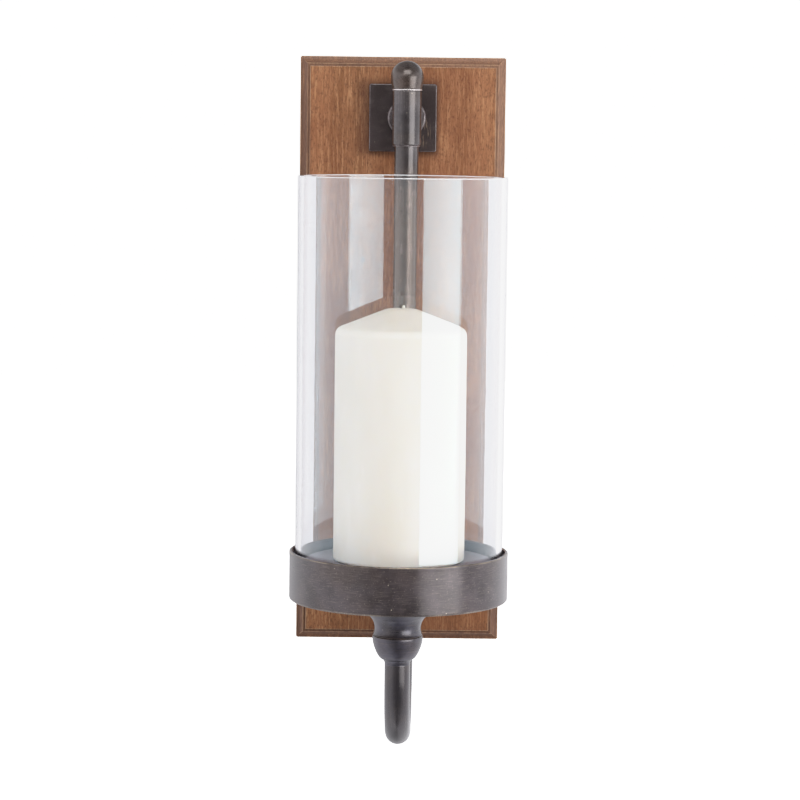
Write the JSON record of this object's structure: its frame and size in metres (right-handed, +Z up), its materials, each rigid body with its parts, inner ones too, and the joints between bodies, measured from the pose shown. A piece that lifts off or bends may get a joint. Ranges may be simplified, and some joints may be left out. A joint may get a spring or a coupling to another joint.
{
  "type": "wall sconce candle holder",
  "caption": "Wall sconce with a moulded wooden backboard, a swivelling hooked metal arm and a drum-shaped dish that holds a pillar candle in a clear glass hurricane.",
  "frame": {"origin": "centre of the backboard's back face, where it lies on the wall", "axes": "+Y points into the wall, the dish stands out along -Y, +Z up, +X to the right seen from the front"},
  "size_m": [0.127, 0.1791, 0.4087],
  "materials": {
    "stained_wood": "warm brown stain, satin, fine vertical grain, darker moulded edge",
    "dark_bronze": "dark bronze patina, satin, lightly brushed and scuffed",
    "worn_bronze": "dark bronze patina, brushed round, edges worn to a warm metal",
    "plated_steel": "zinc plated, dull",
    "clear_glass": "clear, polished, open at both ends",
    "candle_wax": "ivory wax, smooth, slightly translucent",
    "wick_cotton": "braided cotton, dark, waxed"
  },
  "bodies": {
    "wall_bracket": {"backboard": "stained_wood", "keyhole_hanger_upper": "plated_steel", "keyhole_hanger_lower": "plated_steel", "hanger_screws": "plated_steel", "bracket_plate": "dark_bronze", "bracket_bolts": "plated_steel", "bracket_washers": "plated_steel", "bracket_boss": "dark_bronze", "pivot_sleeve": "dark_bronze"},
    "arm": {"swivel_washer": "dark_bronze", "finial_washer": "worn_bronze", "finial_knob": "dark_bronze", "arm_tube": "dark_bronze", "arm_top_stud": "plated_steel", "arm_end_plug": "plated_steel", "stem_bowl": "dark_bronze", "stem_cove": "dark_bronze", "dish_pan": "worn_bronze", "dish_spacer": "plated_steel", "candle_plate": "dark_bronze", "centre_screw": "plated_steel"},
    "glass": {"glass_hurricane": "clear_glass"},
    "candle": {"candle": "candle_wax", "wick": "wick_cotton"}
  },
  "joints": [
    {"name": "arm_swivel", "type": "hinge", "parent": "wall_bracket", "child": "arm", "pos_m": [0.0022, -0.043, 0.1421], "axis": [0, 0, 1], "range_deg": [-45, 45]},
    {"name": "glass_lift", "type": "slide", "parent": "arm", "child": "glass", "axis": [0, 0, 1], "range_m": [0, 0.18]},
    {"name": "candle_lift", "type": "slide", "parent": "arm", "child": "candle", "axis": [0, 0, 1], "range_m": [0, 0.235]}
  ]
}
